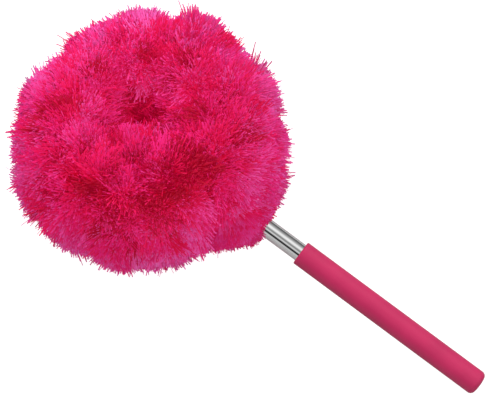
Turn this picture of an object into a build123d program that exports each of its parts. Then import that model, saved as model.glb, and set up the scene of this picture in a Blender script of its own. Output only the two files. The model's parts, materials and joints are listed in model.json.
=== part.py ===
from build123d import *
import os
from math import asin, atan2, cos, degrees, hypot, radians, sin, sqrt, tan

# Round-headed dusting brush on a telescopic pole, lying on a table.
#
# A steel wire is bent into a flat ring whose two legs run into a neck socket. The ring wears a plastic
# sheath and a knitted sleeve, and the sleeve carries long cut fibres that stand out all round it and meet
# in the middle, so the head is a thick bun with a dimple in each face. The neck socket is pinned to the
# thinnest of four nested steel tubes. Each inner tube ends in a guide bush and a pair of sprung friction
# shims that rub in the bore around it, and the rolled-in lip of that bore stops them. The widest tube is
# held in a plastic core that wears a rubber grip. The head lies flat, and the wire legs are bent at the
# neck by the angle at which the end of the grip comes down to the table.
#
# Every piece is drawn with the middle of the ring at the origin and the pole straight out along +X. What
# belongs to the pole is then turned down about the neck bend, and last, all pieces are shifted so that
# the table is Z = 0 and the origin is under the middle of the whole. All sizes are millimetres.

# ---- Head ----
RING_RADIUS = 64.0  # middle of the wire, round the ring
FIBRE_LENGTH = 63.0  # from the middle of the wire to the tips
DIMPLE_FLOOR = 22.0  # where fibres from all round meet, above and below the ring's plane
DIMPLE_RADIUS = 8.0
DIMPLE_RIM = 16.0  # the dimple's wall runs straight from its floor out to here
SQUASH = 2.0  # how far the fibres flatten where the head lies on the table
NECK_TUFT_RADIUS = 54.0  # the fibres that lean along the pole
NECK_TUFT_OUT = 13.0  # how far past the bun they reach
FIBRE_WALL = 2.5  # the fibres count as a wall this thick at their tips, since most of the bun is air
COLLAR_LENGTH = 8.0  # the packed fibres that hold round the legs start this far before the neck bend
COLLAR_RADIUS = 12.0
SOFT_GAP = 0.3  # between the fibres and what they surround

# ---- Ring ----
WIRE_RADIUS = 2.0
SHEATH_RADIUS = 3.5
SHEATH_FIT = 0.05
SLEEVE_RADIUS = 6.0
LEG_SPACING = 8.0  # between the two wire legs
RING_TO_LEG_BEND = 22.0  # where the ring turns out into a leg
TIE_WIDTH = 5.0
TIE_THICKNESS = 1.2

# ---- Neck ----
RING_TO_BEND = 20.0  # from the ring to where the wire legs bend down
NECK_BEND_RADIUS = 36.0
BEND_TO_SOCKET = 5.0
SOCKET_LENGTH = 32.0
SOCKET_RADIUS = 9.0
SOCKET_EDGE = 1.0
TUBE_SEAT = 16.0  # how deep the tip tube sits in the socket
FERRULE_LENGTH = 11.0
FERRULE_WALL = 0.9
FERRULE_RECESS = 1.0
NECK_PIN_RADIUS = 1.5
PIN_HEAD_RADIUS = 2.4
PIN_HEAD_HEIGHT = 0.7

# ---- Telescopic tubes, from the widest to the thinnest ----
TUBE_NAMES = ["outer_tube", "middle_tube", "inner_tube", "tip_tube"]
TUBE_RADII = [8.4, 7.4, 6.4, 5.4]
TUBE_WALL = 0.5
LIP_LENGTH = 2.5
LIP_ROUND = 0.6
RUNNING_FIT = 0.05
FRONT_STEP = 2.5  # each tube's lip stands this far behind the one inside it
REAR_STEP = 2.0  # and each tube's rear end this far behind the one inside it
SOCKET_CLEARANCE = 1.0

# ---- Bushes and friction shims ----
BUSH_LENGTH = 9.0
BUSH_END_WALL = 1.2
BUSH_END_BORE = 1.3  # how much narrower than the tube the bush's rear hole is
BUSH_END_FIT = 0.05
SHIM_LENGTH = 14.0
SHIM_THICKNESS = 0.32
SHIM_ARC = 150.0
SHIM_GAP = 0.4
SHIM_PIP_RADIUS = 1.1
PIP_FIT = 0.05

# ---- Grip ----
SOCKET_TO_GRIP = 55.0
GRIP_LENGTH = 197.0
GRIP_RADIUS = 11.4
GRIP_SKIN = 1.6
GRIP_FRONT_ROUND = 1.2
GRIP_END_ROUND = 4.5
GRIP_END_WALL = 4.5
CORE_END_WALL = 4.0
CORE_SETBACK = 3.0  # the rubber laps over the core's front end by this much
PLUG_DEPTH = 8.0
PLUG_FLANGE = 1.5

# ---- Worked out from the sizes above ----
HEAD_RADIUS = RING_RADIUS + FIBRE_LENGTH
NECK_TUFT_REACH = HEAD_RADIUS + NECK_TUFT_OUT
NECK_BEND = RING_RADIUS + RING_TO_BEND
COLLAR_START = NECK_BEND - COLLAR_LENGTH
SOCKET_START = NECK_BEND + BEND_TO_SOCKET
TABLE = SQUASH - FIBRE_LENGTH  # the table's height in the ring's frame
LEG_Y = LEG_SPACING / 2
LEG_START = sqrt((RING_RADIUS + RING_TO_LEG_BEND) ** 2 - (LEG_Y + RING_TO_LEG_BEND) ** 2)
RING_GAP_ANGLE = degrees(atan2(LEG_Y + RING_TO_LEG_BEND, LEG_START))
LEG_END = SOCKET_START + FERRULE_RECESS + FERRULE_LENGTH
SOCKET_END = SOCKET_START + SOCKET_LENGTH
PIN_X = SOCKET_END - TUBE_SEAT / 2
PIN_HEAD_REACH = SOCKET_RADIUS + PIN_HEAD_HEIGHT
GRIP_START = SOCKET_END + SOCKET_TO_GRIP
GRIP_END = GRIP_START + GRIP_LENGTH
OUTER_TUBE_REAR = GRIP_END - GRIP_END_WALL - CORE_END_WALL - PLUG_FLANGE
INNERMOST = len(TUBE_RADII) - 1

# The lowest point is on the rounding of the grip's end, whose middle is this far from the neck bend.
END_ROUND_X = GRIP_END - GRIP_END_ROUND - NECK_BEND
END_ROUND_OFFSET = GRIP_RADIUS - GRIP_END_ROUND
SLOPE = degrees(
    asin((-TABLE - GRIP_END_ROUND) / hypot(END_ROUND_X, END_ROUND_OFFSET))
    - atan2(END_ROUND_OFFSET, END_ROUND_X)
)
FAR_END = (
    NECK_BEND
    + END_ROUND_X * cos(radians(SLOPE))
    + END_ROUND_OFFSET * sin(radians(SLOPE))
    + GRIP_END_ROUND
)
POLE = Pos(NECK_BEND) * Rot(0, SLOPE, 0) * Pos(-NECK_BEND)
ON_TABLE = Pos(-(FAR_END - HEAD_RADIUS) / 2, 0, -TABLE)


def turned(*corners):
    """A solid turned about the pole's axis from the corners of its half section, as (x, radius)."""
    return revolve(make_face(Polyline(*corners, close=True)), Axis.X)


def rod(x_start, x_end, radius):
    """A round bar along the pole's axis."""
    return turned((x_start, 0), (x_end, 0), (x_end, radius), (x_start, radius))


def along(path, radius):
    """A round bar that follows a path."""
    start = Plane(path @ 0, z_dir=path % 0)
    return sweep(start * Circle(radius), path)


def leg_through_neck(leg_y, leg_end):
    """One wire leg from the ring, round the neck bend and down the pole's axis."""
    bend_start = NECK_BEND - NECK_BEND_RADIUS * tan(radians(SLOPE / 2))
    corners = [Vector(LEG_START, leg_y), Vector(bend_start, leg_y)]
    for turn in (radians(SLOPE / 2), radians(SLOPE)):
        drop = NECK_BEND_RADIUS * (1 - cos(turn))
        corners.append(Vector(bend_start + NECK_BEND_RADIUS * sin(turn), leg_y, -drop))
    end = (POLE * Pos(leg_end, leg_y)).position
    straight = Line(corners[0], corners[1])
    bend = ThreePointArc(*corners[1:])
    return [straight, bend, Line(corners[3], end)]


def ring_path(leg_end):
    """The wire's middle line: up one leg, round the ring and back down the other leg."""
    tangent_share = RING_RADIUS / (RING_RADIUS + RING_TO_LEG_BEND)
    tangent_x = LEG_START * tangent_share
    tangent_y = (LEG_Y + RING_TO_LEG_BEND) * tangent_share
    upper_bend = RadiusArc((LEG_START, LEG_Y), (tangent_x, tangent_y), RING_TO_LEG_BEND)
    ring = ThreePointArc((tangent_x, tangent_y), (-RING_RADIUS, 0), (tangent_x, -tangent_y))
    lower_bend = RadiusArc((tangent_x, -tangent_y), (LEG_START, -LEG_Y), RING_TO_LEG_BEND)
    upper_leg = leg_through_neck(LEG_Y, leg_end)
    lower_leg = leg_through_neck(-LEG_Y, leg_end)
    return Wire(upper_leg + [upper_bend, ring, lower_bend] + lower_leg)


def sleeve_path():
    """The middle line of what covers only the round of the ring, open towards the pole."""
    return CenterArc((0, 0), RING_RADIUS, RING_GAP_ANGLE, 360 - 2 * RING_GAP_ANGLE)


def core_wire():
    """The steel wire, from one leg's end round the ring to the other's."""
    return along(ring_path(LEG_END), WIRE_RADIUS)


def wire_sheath():
    """The plastic tube on the wire, up to the neck socket."""
    path = ring_path(SOCKET_START)
    return along(path, SHEATH_RADIUS) - along(path, WIRE_RADIUS + SHEATH_FIT)


def knitted_sleeve():
    """The sleeve that the fibres are knitted into, round the ring only."""
    return along(sleeve_path(), SLEEVE_RADIUS) - along(sleeve_path(), SHEATH_RADIUS)


def tie_bars(radius, clearance=0.0):
    """Two short bars round the ring where the sleeve's ends are tied."""
    half_width = degrees((TIE_WIDTH / 2 + clearance) / RING_RADIUS)
    bars = []
    for side in (1, -1):
        middle = side * (RING_GAP_ANGLE + degrees(TIE_WIDTH / 2 / RING_RADIUS))
        arc = CenterArc((0, 0), RING_RADIUS, middle - half_width, 2 * half_width)
        bars.append(along(arc, radius))
    return bars[0] + bars[1]


def sleeve_ties():
    """The two bands that gather the knitted sleeve's ends onto the sheath."""
    return tie_bars(SLEEVE_RADIUS + TIE_THICKNESS) - tie_bars(SLEEVE_RADIUS)


def fibre_shape(inset):
    """The bun of fibres with the tuft along the pole, flat on the table, drawn in by an inset."""
    length, floor, rim = FIBRE_LENGTH - inset, DIMPLE_FLOOR - inset, DIMPLE_RIM + inset
    rim_height = sqrt(length**2 - (RING_RADIUS - rim) ** 2)
    outline = ThreePointArc((rim, rim_height), (RING_RADIUS + length, 0), (rim, -rim_height))
    outline += Polyline(
        (rim, -rim_height),
        (DIMPLE_RADIUS, -floor),
        (0, -floor),
        (0, floor),
        (DIMPLE_RADIUS, floor),
        (rim, rim_height),
    )
    bun = revolve(Plane.XZ * make_face(outline), Axis.Z)
    tuft_middle = NECK_TUFT_REACH - NECK_TUFT_RADIUS
    tuft = POLE * Pos(tuft_middle) * Rot(0, 90, 0) * Sphere(NECK_TUFT_RADIUS - inset)
    below = Pos(0, 0, TABLE + inset - HEAD_RADIUS) * Box(
        4 * HEAD_RADIUS, 4 * HEAD_RADIUS, 2 * HEAD_RADIUS
    )
    return (bun + tuft) - below


def room_for_core():
    """The room that the ring, its legs, the neck and the pole take inside the fibres."""
    room = along(sleeve_path(), SLEEVE_RADIUS + SOFT_GAP)
    room += tie_bars(SLEEVE_RADIUS + TIE_THICKNESS + SOFT_GAP, SOFT_GAP)
    room += along(ring_path(SOCKET_START), SHEATH_RADIUS + SOFT_GAP)
    neck = rod(SOCKET_START - SOFT_GAP, NECK_TUFT_REACH + HEAD_RADIUS, PIN_HEAD_REACH + SOFT_GAP)
    return room + POLE * neck


def head_fibres():
    """The fibres: a wall at their tips, thick where it closes round the neck, hollow elsewhere."""
    collar = rod(COLLAR_START, NECK_TUFT_REACH + HEAD_RADIUS, COLLAR_RADIUS)
    hollow = fibre_shape(FIBRE_WALL) - POLE * collar
    return (fibre_shape(0) - hollow) - room_for_core()


def ferrule_bar(length):
    """The oval that goes round both wire legs, from the front of the neck socket."""
    oval = Plane.YZ * SlotCenterToCenter(LEG_SPACING, 2 * (WIRE_RADIUS + FERRULE_WALL))
    return extrude(Pos(SOCKET_START) * oval, length, dir=(1, 0, 0))


def wire_ferrule():
    """The crimped oval that holds both wire legs in the neck socket."""
    ferrule = ferrule_bar(FERRULE_RECESS + FERRULE_LENGTH) - ferrule_bar(FERRULE_RECESS)
    for side in (1, -1):
        ferrule -= Pos(0, side * LEG_Y) * rod(SOCKET_START, SOCKET_END, WIRE_RADIUS)
    return POLE * ferrule


def pin_shank():
    """The room that the neck pin's shank takes across the socket."""
    across = Pos(PIN_X) * Cylinder(NECK_PIN_RADIUS, 4 * SOCKET_RADIUS)
    return across & rod(SOCKET_START, SOCKET_END, SOCKET_RADIUS)


def neck_socket():
    """The moulded neck: wire legs and their ferrule in front, the tip tube behind, pinned across."""
    body = rod(SOCKET_START, SOCKET_END, SOCKET_RADIUS)
    body = fillet(body.edges().filter_by(GeomType.CIRCLE), SOCKET_EDGE)
    body -= ferrule_bar(FERRULE_RECESS + FERRULE_LENGTH)
    body -= rod(SOCKET_END - TUBE_SEAT, SOCKET_END + 1, TUBE_RADII[INNERMOST])
    return POLE * (body - pin_shank())


def neck_pin():
    """The rivet through socket and tip tube, with a low head at each end."""
    heads = Pos(PIN_X) * Cylinder(PIN_HEAD_RADIUS, 2 * PIN_HEAD_REACH)
    heads -= rod(SOCKET_START, SOCKET_END, SOCKET_RADIUS)
    return POLE * (pin_shank() + heads)


def bore(k):
    """The inside radius of tube k, counted from the widest."""
    return TUBE_RADII[k] - TUBE_WALL


def tube_front(k):
    """The front end of tube k."""
    if k == INNERMOST:
        return SOCKET_END - TUBE_SEAT
    return SOCKET_END + SOCKET_CLEARANCE + FRONT_STEP * (INNERMOST - 1 - k)


def tube_rear(k):
    """The rear end of tube k. The outer tube ends on its plug's flange."""
    if k == 0:
        return OUTER_TUBE_REAR
    return OUTER_TUBE_REAR - PLUG_DEPTH - BUSH_END_WALL - REAR_STEP * k


def tube(k):
    """One drawn tube. All but the thinnest have a rolled-in lip that keeps the next one's bush in."""
    front, rear, radius = tube_front(k), tube_rear(k), TUBE_RADII[k]
    pipe = rod(front, rear, radius) - rod(front - 1, rear + 1, bore(k))
    if k == INNERMOST:
        return POLE * (pipe - pin_shank() - shim_pips(k, PIP_FIT))
    lip = rod(front, front + LIP_LENGTH, radius - LIP_ROUND / 2)
    lip -= rod(front - 1, rear, TUBE_RADII[k + 1] + RUNNING_FIT)
    pipe = pipe + lip
    edges = pipe.edges().filter_by(GeomType.CIRCLE).group_by(Axis.X)[0]
    pipe = fillet(edges.sort_by(SortBy.RADIUS)[-1], LIP_ROUND)
    return POLE * (pipe if k == 0 else pipe - shim_pips(k, PIP_FIT))


def bush(k):
    """The plastic guide on tube k's rear end, which runs in the bore around it. The thinnest turns."""
    rear, radius = tube_rear(k), TUBE_RADII[k]
    inside = radius + (RUNNING_FIT if k == INNERMOST else 0)
    outside = bore(k - 1) - RUNNING_FIT
    guide = rod(rear - BUSH_LENGTH, rear + BUSH_END_WALL, outside)
    guide -= rod(rear - BUSH_LENGTH - 1, rear + BUSH_END_FIT, inside)
    return POLE * (guide - rod(rear, rear + BUSH_END_WALL + 1, radius - BUSH_END_BORE))


def shim_start(k):
    """The front end of the friction shims on tube k."""
    return tube_rear(k) - BUSH_LENGTH - SHIM_GAP - SHIM_LENGTH


def shim_pips(k, clearance=0.0):
    """The pip on each shim of tube k, which holds it through the tube's wall."""
    middle = shim_start(k) + SHIM_LENGTH / 2
    start, end = middle - SHIM_LENGTH / 2, middle + SHIM_LENGTH / 2
    across = Pos(middle) * Cylinder(SHIM_PIP_RADIUS + clearance, 2 * TUBE_RADII[0])
    return (across & rod(start, end, bore(k - 1) - RUNNING_FIT)) - rod(start, end, bore(k))


def shims(k):
    """Two sprung half shells on tube k that rub in the bore around it."""
    start, end = shim_start(k), shim_start(k) + SHIM_LENGTH
    outside = bore(k - 1) - RUNNING_FIT
    shell = rod(start, end, outside) - rod(start - 1, end + 1, outside - SHIM_THICKNESS)
    side_gap = 2 * outside * sin(radians(90 - SHIM_ARC / 2))
    shell -= Pos((start + end) / 2) * Box(2 * SHIM_LENGTH, 3 * outside, side_gap)
    return POLE * (shell + shim_pips(k))


def stop_plug():
    """The plug that closes the outer tube's rear end and stops the inner tubes."""
    inside = rod(OUTER_TUBE_REAR - PLUG_DEPTH, OUTER_TUBE_REAR, bore(0))
    flange = rod(OUTER_TUBE_REAR, OUTER_TUBE_REAR + PLUG_FLANGE, TUBE_RADII[0])
    return POLE * (inside + flange)


def core_bar():
    """The outside of the grip's plastic core."""
    return rod(GRIP_START + CORE_SETBACK, GRIP_END - GRIP_END_WALL, GRIP_RADIUS - GRIP_SKIN)


def grip_core():
    """The plastic tube, closed at the rear, that holds the outer tube."""
    pocket = rod(GRIP_START, OUTER_TUBE_REAR + PLUG_FLANGE, TUBE_RADII[0])
    return POLE * (core_bar() - pocket)


def grip_sleeve():
    """The rubber grip, rounded at both ends, moulded over the core."""
    skin = rod(GRIP_START, GRIP_END, GRIP_RADIUS)
    skin = fillet(skin.edges().filter_by(GeomType.CIRCLE).sort_by(Axis.X)[-1], GRIP_END_ROUND)
    skin = fillet(skin.edges().filter_by(GeomType.CIRCLE).sort_by(Axis.X)[0], GRIP_FRONT_ROUND)
    front_hole = rod(GRIP_START - 1, GRIP_START + CORE_SETBACK, TUBE_RADII[0])
    return POLE * (skin - core_bar() - front_hole)


def pieces():
    """Every piece by name."""
    made = {
        "head_fibres": head_fibres(),
        "knitted_sleeve": knitted_sleeve(),
        "sleeve_ties": sleeve_ties(),
        "wire_sheath": wire_sheath(),
        "core_wire": core_wire(),
        "wire_ferrule": wire_ferrule(),
        "neck_socket": neck_socket(),
        "neck_pin": neck_pin(),
        "stop_plug": stop_plug(),
        "grip_core": grip_core(),
        "grip_sleeve": grip_sleeve(),
    }
    for k, name in enumerate(TUBE_NAMES):
        made[name] = tube(k)
        if k > 0:
            made[name + "_bush"] = bush(k)
            made[name + "_shims"] = shims(k)
    return made


os.makedirs("parts", exist_ok=True)
for name, piece in pieces().items():
    export_step(ON_TABLE * piece, f"parts/{name}.step")

print("Slope of the pole:", round(SLOPE, 4), "degrees; far end", round(FAR_END, 3))
for k in range(1, len(TUBE_RADII)):
    travel = shim_start(k) - tube_front(k - 1) - LIP_LENGTH
    print(TUBE_NAMES[k], "travel before its shims meet the lip:", round(travel, 3))
for x in (NECK_BEND, PIN_X, GRIP_START, GRIP_END):
    spot = (ON_TABLE * POLE * Pos(x)).position
    print("Pole axis at", x, "is at", [round(v, 4) for v in spot])
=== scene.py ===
import json
import math

import bpy
import numpy as np
from mathutils import Matrix, Vector


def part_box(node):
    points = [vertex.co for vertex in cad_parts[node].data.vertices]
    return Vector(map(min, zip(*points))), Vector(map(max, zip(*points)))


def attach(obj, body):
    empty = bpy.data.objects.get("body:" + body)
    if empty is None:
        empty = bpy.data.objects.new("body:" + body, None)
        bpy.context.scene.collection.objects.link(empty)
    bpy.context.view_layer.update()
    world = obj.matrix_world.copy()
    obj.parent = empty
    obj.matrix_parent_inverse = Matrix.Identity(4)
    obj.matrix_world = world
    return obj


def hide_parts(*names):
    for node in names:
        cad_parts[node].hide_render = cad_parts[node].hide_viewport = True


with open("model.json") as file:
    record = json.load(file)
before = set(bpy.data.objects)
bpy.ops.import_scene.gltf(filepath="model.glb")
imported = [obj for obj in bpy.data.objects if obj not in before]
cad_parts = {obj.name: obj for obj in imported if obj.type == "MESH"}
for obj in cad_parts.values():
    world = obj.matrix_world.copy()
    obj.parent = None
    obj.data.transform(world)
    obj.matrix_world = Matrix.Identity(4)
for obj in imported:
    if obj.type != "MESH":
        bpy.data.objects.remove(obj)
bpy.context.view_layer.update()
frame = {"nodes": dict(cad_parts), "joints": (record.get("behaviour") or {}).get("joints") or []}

# A duster lying on a pale table: a bun of long cut fibres, a polished telescopic pole and a rubber grip.
# Lengths are metres and angles are degrees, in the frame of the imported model. An angle round the ring is
# counted from +X toward +Y, and an angle round the wire from the bun's outer edge over its face.

# ---- Places, from the frame ----
NODES = frame["nodes"]
FIBRES_LOW, FIBRES_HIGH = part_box("head_fibres")
FIBRE_LENGTH = 0.063
RING_RADIUS = 0.064
RING_MIDDLE = np.array([FIBRES_LOW.x + RING_RADIUS + FIBRE_LENGTH, 0.0, FIBRES_HIGH.z - FIBRE_LENGTH])
SWIVEL = next(j for j in frame["joints"] if j["name"] == "head_swivel")
POLE_POINT = np.array(SWIVEL["pos_m"])
POLE_WAY = -np.array(SWIVEL["axis"]) / np.linalg.norm(SWIVEL["axis"])  # from the head toward the grip

# ---- The bun's surface, where the tips of its fibres end ----
# Lobes of its edge: where round the ring, how wide, and how far the tips stand out.
LOBES = [
    (-152.0, 7.0, -0.0090), (-148.0, 22.0, -0.0045), (-130.0, 5.0, -0.0085), (-120.0, 6.0, 0.0030),
    (-112.0, 40.0, -0.0040), (-106.0, 7.0, -0.0030), (-95.0, 18.0, -0.0010), (-80.0, 10.0, -0.0070),
    (-62.0, 10.0, -0.0010), (-51.0, 8.0, -0.0080), (-56.0, 8.0, -0.0030), (-29.0, 13.0, -0.0115),
    (-13.0, 7.0, -0.0050), (8.0, 12.0, 0.0050), (18.0, 8.0, 0.0090), (28.0, 4.0, -0.0040),
    (34.0, 10.0, 0.0065), (46.0, 8.0, -0.0040), (58.0, 10.0, 0.0090), (73.0, 5.0, -0.0040),
    (82.0, 9.0, 0.0030), (96.0, 6.0, 0.0085), (101.0, 8.0, 0.0060), (113.0, 7.0, -0.0105),
    (131.0, 7.0, 0.0040), (143.0, 8.0, -0.0065), (152.0, 10.0, -0.0010), (162.0, 5.0, -0.0060),
    (170.0, 9.0, -0.0110), (178.0, 18.0, -0.0095),
]
# Lobes of its face: where and how wide round the ring, where and how wide round the wire, and how high.
# The first is a lip over the dimple, and the second draws back the dimple's other wall.
FACE_LOBES = [(-56.0, 60.0, 136.0, 24.0, 0.016), (122.0, 62.0, 136.0, 20.0, -0.016)]
FIBRE_TRIM = 0.001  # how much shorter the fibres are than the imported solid
LONGEST_FIBRE = 0.0745

# The parting that runs round the face, between the inner roll and the outer fringe.
GROOVE_DEPTH = 0.020
GROOVE_AT, GROOVE_WIDTH = 69.0, 8.0  # round the wire
GROOVE_SWAY = (-30.0, 28.0, 10.0)  # where round the ring it sways inward, over what width and how far
GROOVE_MIDDLE, GROOVE_REACH, GROOVE_END = -48.0, 52.0, 5.0  # its run round the ring, and its ends' fade

# Where little light comes inside the dimple: how deep in it starts, how softly, and on which side most.
DIMPLE_AT, DIMPLE_FADE = 132.0, 6.0
DIMPLE_DARK_SIDE, DIMPLE_DARKNESS = 122.0, 0.7

# ---- Tufts and strands ----
TUFTS_ROUND_RING = 3700
STRANDS_IN_TUFT = 56
SECTORS = 11  # pieces round the ring that the strands are split into
EVEN_SHARE, WIDEST = 0.9, 0.121  # what makes the tufts as dense inside the ring as outside it
FEWEST_TUFTS = 0.08  # of those at the outer edge, however far inside
UNDERSIDE, UNDERSIDE_SHARE = -0.55, 0.80  # the sine round the wire below which fewer stand, and how many
DROOP, DROOP_AT = 0.55, 25.0  # how far tufts lean outward over the roll, and where they do most
LEAST_DROOP = -0.6  # of that, where they lean the other way
TUFT_STRAY = 0.95  # how far a tuft leans its own way
TUFT_LENGTHS = (0.91, 1.03)  # of the distance to the bun's surface
STRAND_LENGTHS = (0.88, 1.0)  # of their tuft's
STRAND_LAY = 0.0068  # how far a tip lies over, as its tuft leans
STRAND_LAYS = (0.5, 1.2)  # of that, from strand to strand
STRAND_ROOT = 0.66  # where the part of a strand that can be seen begins, as a share of its length
TUFT_SPREAD = 0.0030
ROOT_SPREAD, TIP_SPREAD = 0.6, 1.8  # of the tuft's spread
TIP_STRAY, STRAY_LIMIT = 0.0019, 1.6  # how far a tip strays, and the most that it may, in that measure
STRAND_WIDTH = 0.00112
STRAND_TAPER = np.array([0.9, 0.8])  # of its width, at its root and its tip
STRAND_FLATNESS = (1.35, 0.55)  # a strand is a ribbon-like lock, wider than thick
STRAND_WIDTHS = (0.75, 1.25)  # of its width, from strand to strand

# The tufts that lean forward along the pole, from a point inside the neck.
NECK_TUFTS = 190
NECK_TUFT_RADIUS = 0.054
NECK_TUFT_MIDDLE = 0.086  # both along the neck and pole, from the middle of the ring
SWIVEL_ALONG_POLE = 0.105
NECK_CONE = (12.0, 56.0)  # between which angles off the pole's way
NECK_CONE_SHORTER = 0.2  # how much the outer tufts of the cone are shorter
NECK_ROOT = 0.50  # as STRAND_ROOT
NECK_TIP_SPREAD = 1.35  # as TIP_SPREAD

# Kept clear of the strands' ends: the table under them, and the pole from its front end on.
TABLE_ROOM = 0.0012
POLE_ROOM = 0.0106
POLE_FRONT = -0.010  # from the swivel

# The heart of the bun, under the strands, in place of the imported solid.
HEART_RADIUS = 0.044  # of the torus that it is shaped from
HEART_ROUND, HEART_ACROSS = 160, 64
PACKED_SHARE = 0.70  # how far out the heart comes toward the tips

# Soft noise: the size of its features, its seed and its strength.
NOISE_WAVES = 24
NOISE_PITCHES = (0.6, 1.3)  # how far the waves differ from that size
HEAPS = (0.026, 5, 0.0026)
WIDE_SWIRL = (0.055, 3, 0.35)
FINE_SWIRL = (0.016, 4, 0.55)
PALE_PATCHES = (0.036, 8, 0.10)
NECK_SWIRL = (0.03, 9, 0.005)
HEART_HEAPS = (0.012, 6, 0.0015)

# ---- Tints with painted light and shade, from 0, deep red, to 1, pale pink ----
TINTS = 12  # steps of tint
PAINTED_RIM_LIGHT, PAINTED_RIM_LIGHT_CURVE = 0.43, 0.8  # painted rim light: the bun's sides and underside are painted paler than its face, for the light that catches its edges
TUFT_TINTS = (-0.04, 0.46)  # added from tuft to tuft
PAINTED_LIGHT_SIDE, PAINTED_SIDE_LIGHT = 128.0, 0.08  # painted light and shade: where round the ring the bun is painted a little paler, on the side that the light falls on, and as much redder on the other side
SHADE_TINT = 0.55  # how much redder the parting and the dimple are
PALEST = 0.99
NECK_TINTS = (0.15, 0.65)
MAP_LOW, MAP_HIGH = 0.02, 0.42  # where strands start and end on their map
MAP_WIDTH = 0.016  # narrower than a step of tint, so that a strand has one tint
SOFT_SHADING = 0.80  # how far strands are lit as the surface of the bun
PAINTED_FIBRE_GLOW = 0.46  # painted glow: emission that stands in for the light that scatters on through the translucent fibres

# ---- Studio ----
# How light the surround is, at angles about the pole from -Y over the top to +Y.
STUDIO_BANDS = [
    (0.0, 0.55), (10.0, 0.66), (20.0, 0.50), (27.0, 0.02), (41.0, 0.02), (50.0, 0.35), (57.0, 0.85),
    (64.0, 0.62), (71.0, 0.34), (82.0, 0.26), (90.0, 0.48), (99.0, 0.92), (108.0, 1.00), (120.0, 0.95),
    (128.0, 0.66), (138.0, 0.44), (152.0, 0.26), (166.0, 0.13), (180.0, 0.13),
]
FLOOR_SIZE = 12.0
FLOOR_DROP = 0.0005  # under the duster, so that the two surfaces don't flicker into each other
FLOOR_LIGHT = (0.17, 0.17, 0.17)  # what the floor adds for all that stands on it
FLOOR_SEEN = (0.95, 0.95, 0.95)  # how light it looks itself
LAMPS = [  # name, place, size and watts
    ("key", (-1.3, 0.2, 1.6), 1.2, 24.0),
    ("fill", (1.2, -0.6, 1.3), 1.4, 7.0),
    ("back", (0.3, 1.5, 1.2), 1.2, 11.0),
]
LAMPS_AIM = Vector((0.0, 0.0, 0.05))

# ---- Camera ----
CAMERA_AZIMUTH = math.radians(35.38)
CAMERA_ELEVATION = math.radians(67.3)
CAMERA_DISTANCE = 1.459
CAMERA_LENS = 117.1
AIM_RIGHT, AIM_DOWN = 0.0940, 0.0523  # from the middle of the ring

TINY = 1e-9  # keeps a length that is divided by above nothing
rng = np.random.default_rng(7)


# ---- Shader maths ----
class Shade:
    """A socket in a look, so that sums and products of values read as plain expressions."""

    def __init__(self, look, socket):
        self.look = look
        self.socket = socket

    def __add__(self, other):
        return self.look.maths("ADD", self, other)

    def __radd__(self, other):
        return self.look.maths("ADD", other, self)

    def __sub__(self, other):
        return self.look.maths("SUBTRACT", self, other)

    def __rsub__(self, other):
        return self.look.maths("SUBTRACT", other, self)

    def __mul__(self, other):
        return self.look.maths("MULTIPLY", self, other)

    def __rmul__(self, other):
        return self.look.maths("MULTIPLY", other, self)

    def __pow__(self, other):
        return self.look.maths("POWER", self, other)

    def __rpow__(self, other):
        return self.look.maths("POWER", other, self)


class Look:
    """A procedural node tree that ends in one shader, whose constants are set on its own sockets."""

    def __init__(self, owner, shader, constants):
        self.owner = owner
        owner.use_nodes = True
        self.tree = owner.node_tree
        self.shader = self.tree.nodes[shader]
        self.use(constants)

    def feed(self, made, sockets):
        for name, value in sockets.items():
            if isinstance(value, Shade):
                self.tree.links.new(value.socket, made.inputs[name])
            else:
                made.inputs[name].default_value = value

    def use(self, sockets):
        self.feed(self.shader, sockets)
        return self.owner

    def node(self, kind, settings, sockets, output=0):
        made = self.tree.nodes.new(kind)
        for name, value in settings.items():
            if name == "stops":
                ramp = made.color_ramp
                while len(ramp.elements) < len(value):
                    ramp.elements.new(0.5)
                for element, (place, colour) in zip(ramp.elements, value):
                    element.position = place
                    element.color = (*colour, 1.0)
            else:
                setattr(made, name, value)
        self.feed(made, sockets)
        return Shade(self, made.outputs[output])

    def maths(self, operation, *values):
        return self.node("ShaderNodeMath", {"operation": operation}, dict(enumerate(values)))

    def place(self, mapping=None):
        spot = self.node("ShaderNodeTexCoord", {}, {}, "Object")
        return self.node("ShaderNodeMapping", {}, {"Vector": spot, **mapping}) if mapping else spot

    def noise(self, spot, scale, detail=3.0):
        return self.node("ShaderNodeTexNoise", {}, {"Vector": spot, "Scale": scale, "Detail": detail})

    def ramp(self, value, stops):
        return self.node("ShaderNodeValToRGB", {"stops": stops}, {"Fac": value})

    def part(self, vector, axis):
        return self.node("ShaderNodeSeparateXYZ", {}, {0: vector}, axis)

    def mix(self, share, first, second):
        """A blend of two colours, which this node takes at its seventh and eighth sockets."""
        first, second = (c if isinstance(c, Shade) else (*c, 1.0) for c in (first, second))
        return self.node("ShaderNodeMix", {"data_type": "RGBA"}, {0: share, 6: first, 7: second}, 2)

    def bump(self, height, strength, distance):
        sockets = {"Height": height, "Strength": strength, "Distance": distance}
        return self.node("ShaderNodeBump", {}, sockets)


def material(name, constants):
    return Look(bpy.data.materials.new(name), "Principled BSDF", constants)


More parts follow.
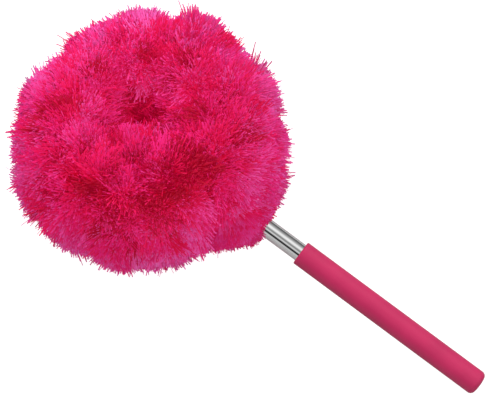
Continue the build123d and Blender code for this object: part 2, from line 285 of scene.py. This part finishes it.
# ---- Finishes ----
def fibre_finish():
    """Silky cut fibres, pink at the tips and painted deep red toward the roots for the shade deep in the
    pile; each tuft has its own tone with painted light and shade, and a painted glow.
    """
    fibre = material("silky_fibre", {
        "Roughness": 0.50,
        "Sheen Weight": 0.08,
        "Sheen Roughness": 0.35,
        "Sheen Tint": (1.0, 0.30, 0.60, 1.0),
        "Specular IOR Level": 0.20,
        "Emission Strength": PAINTED_FIBRE_GLOW,
    })
    spot = fibre.node("ShaderNodeUVMap", {"uv_map": "OFBake"}, {})
    tint_and_light = fibre.part(spot, "X")
    along = (fibre.part(spot, "Y") - MAP_LOW) * (1.0 / (MAP_HIGH - MAP_LOW))
    root = fibre.ramp(tint_and_light, [(0.0, (0.34, 0.0001, 0.010)), (1.0, (0.54, 0.0030, 0.080))])
    # Painted glow: emission, strongest toward the roots, stands in for the light scattering through the
    # pile.
    painted_root_glow = fibre.ramp(tint_and_light, [(0.0, (0.34, 0.0, 0.008)), (0.20, (0.98, 0.0, 0.024))])
    tip = fibre.ramp(tint_and_light, [
        (0.0, (0.26, 0.0003, 0.012)),
        (0.15, (0.61, 0.0022, 0.064)),
        (0.40, (0.64, 0.0160, 0.175)),
        (0.70, (0.68, 0.0850, 0.360)),
        (1.0, (0.84, 0.2400, 0.560)),
    ])
    # Painted shade: the colour runs from deep red at the roots, where the pile shades them, out to the tips.
    colour = fibre.mix(along ** 2.2, root, tip)
    painted_glow = fibre.mix(along ** 2.0, painted_root_glow, tip)
    return fibre.use({"Base Color": colour, "Emission Color": painted_glow})


def packed_finish():
    """The packed fibres deep inside, seen only between the tufts, painted the deep red of the shade there,
    with a painted glow.
    """
    packed = material("packed_fibre", {"Roughness": 0.8, "Emission Strength": PAINTED_FIBRE_GLOW})
    grain = packed.noise(packed.place(), 900.0)
    # Painted shade: the deep red of the shade between the tufts.
    colour = packed.ramp(grain, [(0.35, (0.30, 0.0005, 0.012)), (0.7, (0.46, 0.002, 0.040))])
    # Painted glow: emission stands in for the light scattering through the packed fibres.
    painted_glow = packed.ramp(grain, [(0.35, (0.45, 0.0, 0.015)), (0.7, (0.65, 0.0, 0.03))])
    heaped = packed.bump(grain, 0.8, 0.002)
    return packed.use({"Base Color": colour, "Emission Color": painted_glow, "Normal": heaped})


def polished_steel():
    """Drawn and polished steel, with faint lines along the pole and soft smudges."""
    steel = material("polished_steel", {"Metallic": 1.0})
    slope = math.asin(-POLE_WAY[2])
    drawn = steel.place({"Rotation": (0.0, -slope, 0.0), "Scale": (3.0, 900.0, 900.0)})
    lines = steel.noise(drawn, 2.0, 2.0)
    smudge = steel.noise(steel.place(), 60.0, 4.0)
    colour = steel.ramp(smudge, [(0.3, (0.80, 0.80, 0.80)), (0.75, (0.90, 0.90, 0.90))])
    rough = smudge * 0.05 + lines * 0.03 + 0.03
    scored = steel.bump(lines, 0.06, 0.0002)
    return steel.use({"Base Color": colour, "Roughness": rough, "Normal": scored})


def satin_rubber():
    """The grip's smooth dyed rubber, with a fine moulded grain."""
    rubber = material("satin_rubber", {
        "Coat Weight": 0.10,
        "Coat Roughness": 0.40,
        "Specular IOR Level": 0.40,
    })
    grain = rubber.noise(rubber.place(), 2600.0, 2.0)
    cloud = rubber.noise(rubber.place(), 38.0, 4.0)
    colour = rubber.ramp(cloud, [(0.3, (0.52, 0.016, 0.100)), (0.75, (0.59, 0.020, 0.114))])
    rough = 0.42 + cloud * 0.14
    pebbled = rubber.bump(grain, 0.12, 0.0003)
    return rubber.use({"Base Color": colour, "Roughness": rough, "Normal": pebbled})


def moulded(name, dark, light, roughness):
    """Plain moulded plastic."""
    plastic = material(name, {})
    cloud = plastic.noise(plastic.place(), 150.0, 4.0)
    grain = plastic.noise(plastic.place(), 3000.0, 2.0)
    colour = plastic.ramp(cloud, [(0.3, dark), (0.75, light)])
    rough = roughness + cloud * 0.12
    pebbled = plastic.bump(grain, 0.10, 0.0003)
    return plastic.use({"Base Color": colour, "Roughness": rough, "Normal": pebbled})


def bare_metal(name, dark, light, roughness):
    """Metal as it comes from the press, faintly scratched."""
    metal = material(name, {"Metallic": 1.0})
    scratches = metal.noise(metal.place({"Scale": (200.0, 1500.0, 1500.0)}), 1.0, 3.0)
    colour = metal.ramp(scratches, [(0.3, dark), (0.75, light)])
    rough = roughness + scratches * 0.2
    scored = metal.bump(scratches, 0.2, 0.0002)
    return metal.use({"Base Color": colour, "Roughness": rough, "Normal": scored})


def knitted():
    """The knitted sleeve round the ring."""
    yarn = material("knitted_sleeve_yarn", {"Roughness": 0.85})
    ribs = yarn.node("ShaderNodeTexWave", {"wave_type": "BANDS"}, {"Vector": yarn.place(), "Scale": 420.0})
    grain = yarn.noise(yarn.place(), 1500.0)
    colour = yarn.ramp(grain, [(0.3, (0.30, 0.004, 0.04)), (0.75, (0.52, 0.02, 0.11))])
    return yarn.use({"Base Color": colour, "Normal": yarn.bump(ribs, 0.7, 0.0008)})


def finish_nodes():
    """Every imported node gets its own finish."""
    steel = polished_steel()
    pink_plastic = moulded("pink_plastic", (0.44, 0.03, 0.10), (0.56, 0.05, 0.15), 0.38)
    white_plastic = moulded("white_plastic", (0.76, 0.76, 0.73), (0.86, 0.86, 0.83), 0.35)
    brass = bare_metal("shim_brass", (0.62, 0.42, 0.18), (0.83, 0.63, 0.32), 0.25)
    wire = bare_metal("wire_steel", (0.40, 0.40, 0.40), (0.62, 0.62, 0.62), 0.30)
    finishes = {"grip_sleeve": satin_rubber(), "knitted_sleeve": knitted()}
    finishes.update(dict.fromkeys(("grip_core", "neck_socket", "wire_sheath"), pink_plastic))
    for name, piece in NODES.items():
        if name.endswith("_tube"):
            finish = steel
        elif name.endswith("_shims"):
            finish = brass
        elif name.endswith("_bush") or name in ("stop_plug", "sleeve_ties"):
            finish = white_plastic
        else:
            finish = finishes.get(name, wire)
        piece.data.materials.clear()
        piece.data.materials.append(finish)


# ---- Head shape ----
def wrapped(degrees):
    return (degrees + 180.0) % 360.0 - 180.0


def bell(away, width):
    return np.exp(-((away / width) ** 2))


def fade(past, width):
    """1 well before an edge and 0 well past it."""
    return 1.0 / (1.0 + np.exp(past / width))


def groove_depth(round_ring, round_wire):
    """How deep the parting is."""
    sway_at, sway_width, sway = GROOVE_SWAY
    middle = GROOVE_AT + sway * bell(round_ring - sway_at, sway_width)
    ends = fade(np.abs(wrapped(round_ring - GROOVE_MIDDLE)) - GROOVE_REACH, GROOVE_END)
    return GROOVE_DEPTH * bell(round_wire - middle, GROOVE_WIDTH) * ends


def tip_distance(round_ring, round_wire):
    """From the middle of the wire to the tips of the fibres."""
    outward = np.cos(np.radians(round_wire)).clip(0, 1)
    reach = np.full_like(round_ring, FIBRE_LENGTH - FIBRE_TRIM)
    for place, width, height in LOBES:
        reach = reach + height * bell(wrapped(round_ring - place), width) * outward
    for place, width, over, over_width, height in FACE_LOBES:
        raised = bell(wrapped(round_ring - place), width) * bell(round_wire - over, over_width)
        reach = reach + height * raised
    return reach - groove_depth(round_ring, round_wire)


def in_shade(round_ring, round_wire):
    """From 0 to 1, how deep a tuft lies in the parting or the dimple, where little light comes."""
    side = np.cos(np.radians(round_ring - DIMPLE_DARK_SIDE))
    dimple = np.clip(DIMPLE_DARKNESS + DIMPLE_DARKNESS * side, 0.0, 1.0)
    dimple = dimple * fade(DIMPLE_AT - np.abs(round_wire), DIMPLE_FADE)
    return np.clip(groove_depth(round_ring, round_wire) / GROOVE_DEPTH + dimple, 0.0, 1.0)


def soft_noise(points, size, seed, strength):
    """A smooth vector field with features of a given size, made of a few dozen waves."""
    local = np.random.default_rng(seed)
    total = np.zeros((len(points), 3))
    for _ in range(NOISE_WAVES):
        way = local.normal(size=3)
        way *= 2 * math.pi / size * local.uniform(*NOISE_PITCHES) / np.linalg.norm(way)
        total += np.sin(points @ way + local.uniform(0, 2 * math.pi))[:, None] * local.normal(size=3)
    return total / math.sqrt(NOISE_WAVES) * strength


def unit(vectors):
    return vectors / np.maximum(np.linalg.norm(vectors, axis=1, keepdims=True), TINY)


def square_to(vectors, ways):
    """The vectors without what they have along the ways, which are of length 1."""
    return vectors - ways * np.sum(vectors * ways, axis=1, keepdims=True)


def ring_frames(round_ring, round_wire):
    """The wire's place, the way out of it, and the way outward over the roll."""
    a, b = np.radians(round_ring), np.radians(round_wire)
    outward = np.stack([np.cos(a), np.sin(a), np.zeros_like(a)], axis=1)
    up = np.array([0.0, 0.0, 1.0])
    wire = RING_MIDDLE + RING_RADIUS * outward
    out = outward * np.cos(b)[:, None] + up * np.sin(b)[:, None]
    over = outward * np.sin(b)[:, None] - up * np.cos(b)[:, None]
    return wire, out, over


# ---- Strands ----
def tuft_angles():
    """Where the tufts stand: equally dense all over the bun, but sparser where it lies on the table."""
    angles = []
    while len(angles) < TUFTS_ROUND_RING:
        a, b = rng.uniform(-180, 180), rng.uniform(-180, 180)
        share = (RING_RADIUS + EVEN_SHARE * FIBRE_LENGTH * math.cos(math.radians(b))) / WIDEST
        if math.sin(math.radians(b)) < UNDERSIDE:
            share *= UNDERSIDE_SHARE
        if rng.uniform() < max(share, FEWEST_TUFTS):
            angles.append((a, b))
    return np.array(angles).T


def ring_tufts():
    """The tufts all round the ring: their angles, wire, way out, reach and lean."""
    round_ring, round_wire = tuft_angles()
    wire, out, over = ring_frames(round_ring, round_wire)
    reach = tip_distance(round_ring, round_wire)[:, None]
    surface = wire + out * reach
    reach = reach + soft_noise(surface, *HEAPS)[:, :1]
    swirl = soft_noise(surface, *WIDE_SWIRL) + soft_noise(surface, *FINE_SWIRL)
    droop = DROOP * np.clip(np.cos(np.radians(round_wire - DROOP_AT)), LEAST_DROOP, 1)[:, None]
    lean = over * droop + swirl + rng.normal(size=surface.shape) * TUFT_STRAY
    return round_ring, round_wire, wire, out, reach, square_to(lean, out)


def repeated(values):
    """Each tuft's value, once for every strand in it."""
    return np.repeat(values, STRANDS_IN_TUFT, axis=0)


def scattered(out):
    """Where each strand stands across its tuft."""
    return square_to(rng.normal(size=out.shape) * TUFT_SPREAD, out)


def ring_paths():
    """The two ends of every strand on the ring, its tone with painted light and shade, its angle round the
    ring and its way out.
    """
    round_ring, round_wire, wire, out, reach, lean = ring_tufts()
    tufts = len(round_ring)
    longer = repeated(rng.uniform(*TUFT_LENGTHS, (tufts, 1)))
    # Painted rim light: paler toward the bun's edges and underside than on its face.
    rim_light_mask = np.clip(1.0 - np.sin(np.radians(round_wire)), 0.0, 1.0) ** PAINTED_RIM_LIGHT_CURVE
    patches = soft_noise(wire + out * reach, *PALE_PATCHES)[:, 0]
    # Painted light on the side of the ring that the light falls on, and painted shade on the other.
    painted_side_light = PAINTED_SIDE_LIGHT * np.cos(np.radians(round_ring - PAINTED_LIGHT_SIDE))
    # Each tuft's own tone, with painted rim light, painted side light and painted shade added.
    tint_and_light = PAINTED_RIM_LIGHT * rim_light_mask + rng.uniform(*TUFT_TINTS, tufts) + patches + painted_side_light
    tint_and_light = np.clip(tint_and_light - SHADE_TINT * in_shade(round_ring, round_wire), 0.0, PALEST)
    out, lean, wire = repeated(out), repeated(lean), repeated(wire)
    scatter = scattered(out)
    size = repeated(reach) * longer * rng.uniform(*STRAND_LENGTHS, (len(out), 1))
    size = np.minimum(size, LONGEST_FIBRE)
    lay = rng.uniform(*STRAND_LAYS, (len(out), 1)) * STRAND_LAY
    root = wire + out * size * STRAND_ROOT + scatter * ROOT_SPREAD
    tip = wire + out * size + scatter * TIP_SPREAD + lean * lay
    tip += rng.normal(size=tip.shape).clip(-STRAY_LIMIT, STRAY_LIMIT) * TIP_STRAY
    return np.stack([root, tip], axis=1), repeated(tint_and_light), repeated(round_ring), out


def neck_paths():
    """The two ends, tint and way out of the strands that lean forward along the pole, all round it."""
    side = np.cross(POLE_WAY, (0.0, 0.0, 1.0))
    side /= np.linalg.norm(side)
    top = np.cross(side, POLE_WAY)
    middle = POLE_POINT + POLE_WAY * (NECK_TUFT_MIDDLE - SWIVEL_ALONG_POLE)
    off = np.radians(rng.uniform(*NECK_CONE, NECK_TUFTS))
    turn = rng.uniform(0, 2 * math.pi, NECK_TUFTS)
    aside = side * np.cos(turn)[:, None] + top * np.sin(turn)[:, None]
    way = POLE_WAY * np.cos(off)[:, None] + aside * np.sin(off)[:, None]
    lean = repeated(soft_noise(middle + way * NECK_TUFT_RADIUS, *NECK_SWIRL))
    shorter = repeated(1.0 - NECK_CONE_SHORTER * off**2)[:, None]
    way = repeated(way)
    scatter = scattered(way)
    size = rng.uniform(*STRAND_LENGTHS, (len(way), 1)) * NECK_TUFT_RADIUS * shorter
    root = middle + way * size * NECK_ROOT + scatter * ROOT_SPREAD
    tip = middle + way * size + scatter * NECK_TIP_SPREAD + lean
    return np.stack([root, tip], axis=1), repeated(rng.uniform(*NECK_TINTS, NECK_TUFTS)), way


def kept_clear(paths):
    """The strands with their ends above the table and outside the pole."""
    points = paths.reshape(-1, 3).copy()
    points[:, 2] = np.maximum(points[:, 2], TABLE_ROOM)
    from_swivel = points - POLE_POINT
    along = from_swivel @ POLE_WAY
    across = from_swivel - along[:, None] * POLE_WAY
    far = np.linalg.norm(across, axis=1, keepdims=True)
    near = ((along > POLE_FRONT) & (far[:, 0] < POLE_ROOM))[:, None]
    points = np.where(near, points + across / np.maximum(far, TINY) * (POLE_ROOM - far), points)
    return points.reshape(paths.shape)


# A strand is a thin prism with three corners at its root, 0 to 2, and three at its tip, 3 to 5.
SIDES = np.array([(k, (k + 1) % 3, (k + 1) % 3 + 3, k + 3) for k in range(3)])
CAPS = np.array([(2, 1, 0), (3, 4, 5)])
MAP_HALF = MAP_WIDTH / 2
SIDE_MAP = [(-MAP_HALF, MAP_LOW), (MAP_HALF, MAP_LOW), (MAP_HALF, MAP_HIGH), (-MAP_HALF, MAP_HIGH)]
CAP_MAPS = [
    [(-MAP_HALF, low), (MAP_HALF, low), (0.0, low + MAP_WIDTH)] for low in (MAP_LOW, MAP_HIGH - MAP_WIDTH)
]


def on_map(pattern, tint_and_light):
    """Every strand's copy of a pattern of map points, moved to the strand's tone with painted light and
    shade.
    """
    spots = np.tile(np.array(pattern).reshape(-1, 2), (len(tint_and_light), 1, 1))
    spots[..., 0] += tint_and_light[:, None]
    return spots.ravel()


def strand_mesh(name, paths, tints_and_light, outs):
    """One closed mesh of thin three-sided strands, cut off at their tips."""
    count = len(paths)
    way = unit(paths[:, 1] - paths[:, 0])
    aside = unit(np.cross(way, rng.normal(size=(count, 3))))
    other = np.cross(way, aside)
    radius = STRAND_TAPER * STRAND_WIDTH / 2
    spread = rng.uniform(*STRAND_WIDTHS, (count, 1, 1))
    wide, thick = STRAND_FLATNESS
    corners = []
    for turn in (math.pi / 2, math.pi * 7 / 6, math.pi * 11 / 6):
        arm = aside * math.cos(turn) * wide + other * math.sin(turn) * thick
        corners.append(paths + arm[:, None, :] * radius[None, :, None] * spread)
    verts = np.stack(corners, axis=2)

    first = np.arange(count)[:, None] * 6
    loops = np.concatenate([(first + SIDES.ravel()).ravel(), (first + CAPS.ravel()).ravel()])
    sides, caps = count * len(SIDES), count * len(CAPS)
    starts = np.concatenate([np.arange(sides) * 4, sides * 4 + np.arange(caps) * 3])
    mesh = bpy.data.meshes.new(name)
    mesh.vertices.add(count * 6)
    mesh.vertices.foreach_set("co", verts.astype(np.float32).ravel())
    mesh.loops.add(len(loops))
    mesh.loops.foreach_set("vertex_index", loops.astype(np.int32))
    mesh.polygons.add(sides + caps)
    mesh.polygons.foreach_set("loop_start", starts.astype(np.int32))
    mesh.polygons.foreach_set("use_smooth", np.ones(sides + caps, dtype=bool))

    tint_and_light = (np.floor(tints_and_light * TINTS) + 0.5) / TINTS
    spots = np.concatenate([on_map(SIDE_MAP * len(SIDES), tint_and_light), on_map(CAP_MAPS, tint_and_light)])
    mesh.uv_layers.new(name="OFBake").data.foreach_set("uv", spots.astype(np.float32))
    mesh.update(calc_edges=True)

    own = unit((verts - paths[:, :, None, :]).reshape(-1, 3))
    lit = own * (1.0 - SOFT_SHADING) + np.repeat(outs, 6, axis=0) * SOFT_SHADING
    mesh.normals_split_custom_set_from_vertices(unit(lit))
    piece = bpy.data.objects.new(name, mesh)
    bpy.context.scene.collection.objects.link(piece)
    return piece


# ---- Head ----
def deselect():
    for piece in bpy.context.selected_objects:
        piece.select_set(False)


def packed_fibres():
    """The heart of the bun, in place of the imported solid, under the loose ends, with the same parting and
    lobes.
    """
    deselect()
    bpy.ops.mesh.primitive_torus_add(
        location=Vector(RING_MIDDLE),
        major_radius=RING_RADIUS,
        minor_radius=HEART_RADIUS,
        major_segments=HEART_ROUND,
        minor_segments=HEART_ACROSS,
    )
    piece = bpy.context.object
    piece.name = "packed_fibres"
    bpy.ops.object.transform_apply(location=True, rotation=True, scale=True)
    spots = np.array([v.co for v in piece.data.vertices])
    from_middle = spots - RING_MIDDLE
    round_ring = np.degrees(np.arctan2(from_middle[:, 1], from_middle[:, 0]))
    outward = np.linalg.norm(from_middle[:, :2], axis=1) - RING_RADIUS
    round_wire = np.degrees(np.arctan2(from_middle[:, 2], outward))
    wire, out, _ = ring_frames(round_ring, round_wire)
    reach = tip_distance(round_ring, round_wire) * PACKED_SHARE + soft_noise(spots, *HEART_HEAPS)[:, 0]
    piece.data.vertices.foreach_set("co", (wire + out * reach[:, None]).astype(np.float32).ravel())
    piece.data.update()
    piece.data.materials.append(packed_finish())
    bpy.ops.object.shade_smooth()
    return piece


def head():
    """The fibres, in pieces by sector, over their packed heart."""
    finish = fibre_finish()
    paths, tints_and_light, places, outs = ring_paths()
    paths = kept_clear(paths)
    sector = np.floor((places + 180.0) / 360.0 * SECTORS).astype(int).clip(0, SECTORS - 1)
    made = []
    for k in range(SECTORS):
        chosen = sector == k
        made.append(strand_mesh(f"fibres_{k + 1}", paths[chosen], tints_and_light[chosen], outs[chosen]))
    paths, tints_and_light, outs = neck_paths()
    made.append(strand_mesh("fibres_neck", kept_clear(paths), tints_and_light, outs))
    for piece in made:
        piece.data.materials.append(finish)
    made.append(packed_fibres())
    for piece in made:
        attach(piece, "head")
        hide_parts("head_fibres")


# ---- Stage ----
def pale_floor():
    """A pale floor that is nearly white where it is seen, and casts less light than it shows."""
    deselect()
    bpy.ops.mesh.primitive_plane_add(size=FLOOR_SIZE, location=(0.0, 0.0, -FLOOR_DROP))
    floor = bpy.context.object
    floor.name = "pale_floor"
    pale = material("pale_floor", {"Roughness": 0.9, "Emission Strength": 1.0})
    colour = pale.ramp(pale.noise(pale.place(), 3.0), [(0.2, (0.26, 0.26, 0.26)), (0.8, (0.29, 0.29, 0.29))])
    seen = pale.node("ShaderNodeLightPath", {}, {}, "Is Camera Ray")
    light = pale.mix(seen, FLOOR_LIGHT, FLOOR_SEEN)
    floor.data.materials.append(pale.use({"Base Color": colour, "Emission Color": light}))


def surround():
    """A studio of soft bands of light along the pole, white where it is seen."""
    studio = Look(bpy.data.worlds.new("studio"), "Background", {"Strength": 1.0})
    way = studio.node("ShaderNodeTexCoord", {}, {}, "Generated")
    over = studio.maths("ARCTAN2", studio.part(way, "Z"), studio.part(way, "Y") * -1.0)
    stops = [(angle / 180.0, (grey, grey, grey)) for angle, grey in STUDIO_BANDS]
    bands = studio.ramp(over * (1.0 / math.pi), stops)
    seen = studio.node("ShaderNodeLightPath", {}, {}, "Is Camera Ray")
    bpy.context.scene.world = studio.use({"Color": studio.mix(seen, bands, (1.0, 1.0, 1.0))})
    bpy.context.scene.view_settings.view_transform = "Standard"


def lamps():
    """Soft lamps, which the steel doesn't mirror."""
    for name, spot, size, power in LAMPS:
        light = bpy.data.lights.new(name, "AREA")
        light.size = size
        light.energy = power
        lamp = bpy.data.objects.new(name, light)
        lamp.location = spot
        lamp.visible_glossy = False
        lamp.rotation_euler = (LAMPS_AIM - Vector(spot)).to_track_quat("-Z", "Y").to_euler()
        bpy.context.scene.collection.objects.link(lamp)


def camera():
    """A long lens, looking down on the face of the bun."""
    a, e = CAMERA_AZIMUTH, CAMERA_ELEVATION
    right = Vector((math.cos(a), math.sin(a), 0.0))
    up = Vector((-math.sin(e) * math.sin(a), math.sin(e) * math.cos(a), math.cos(e)))
    back = Vector((math.cos(e) * math.sin(a), -math.cos(e) * math.cos(a), math.sin(e)))
    aim = Vector(RING_MIDDLE) + right * AIM_RIGHT - up * AIM_DOWN
    lens = bpy.data.cameras.new("camera")
    lens.lens = CAMERA_LENS
    made = bpy.data.objects.new("camera", lens)
    turn = Matrix((right, up, back)).transposed().to_4x4()
    made.matrix_world = Matrix.Translation(aim + back * CAMERA_DISTANCE) @ turn
    bpy.context.scene.collection.objects.link(made)
    bpy.context.scene.camera = made


finish_nodes()
head()
pale_floor()
surround()
lamps()
camera()
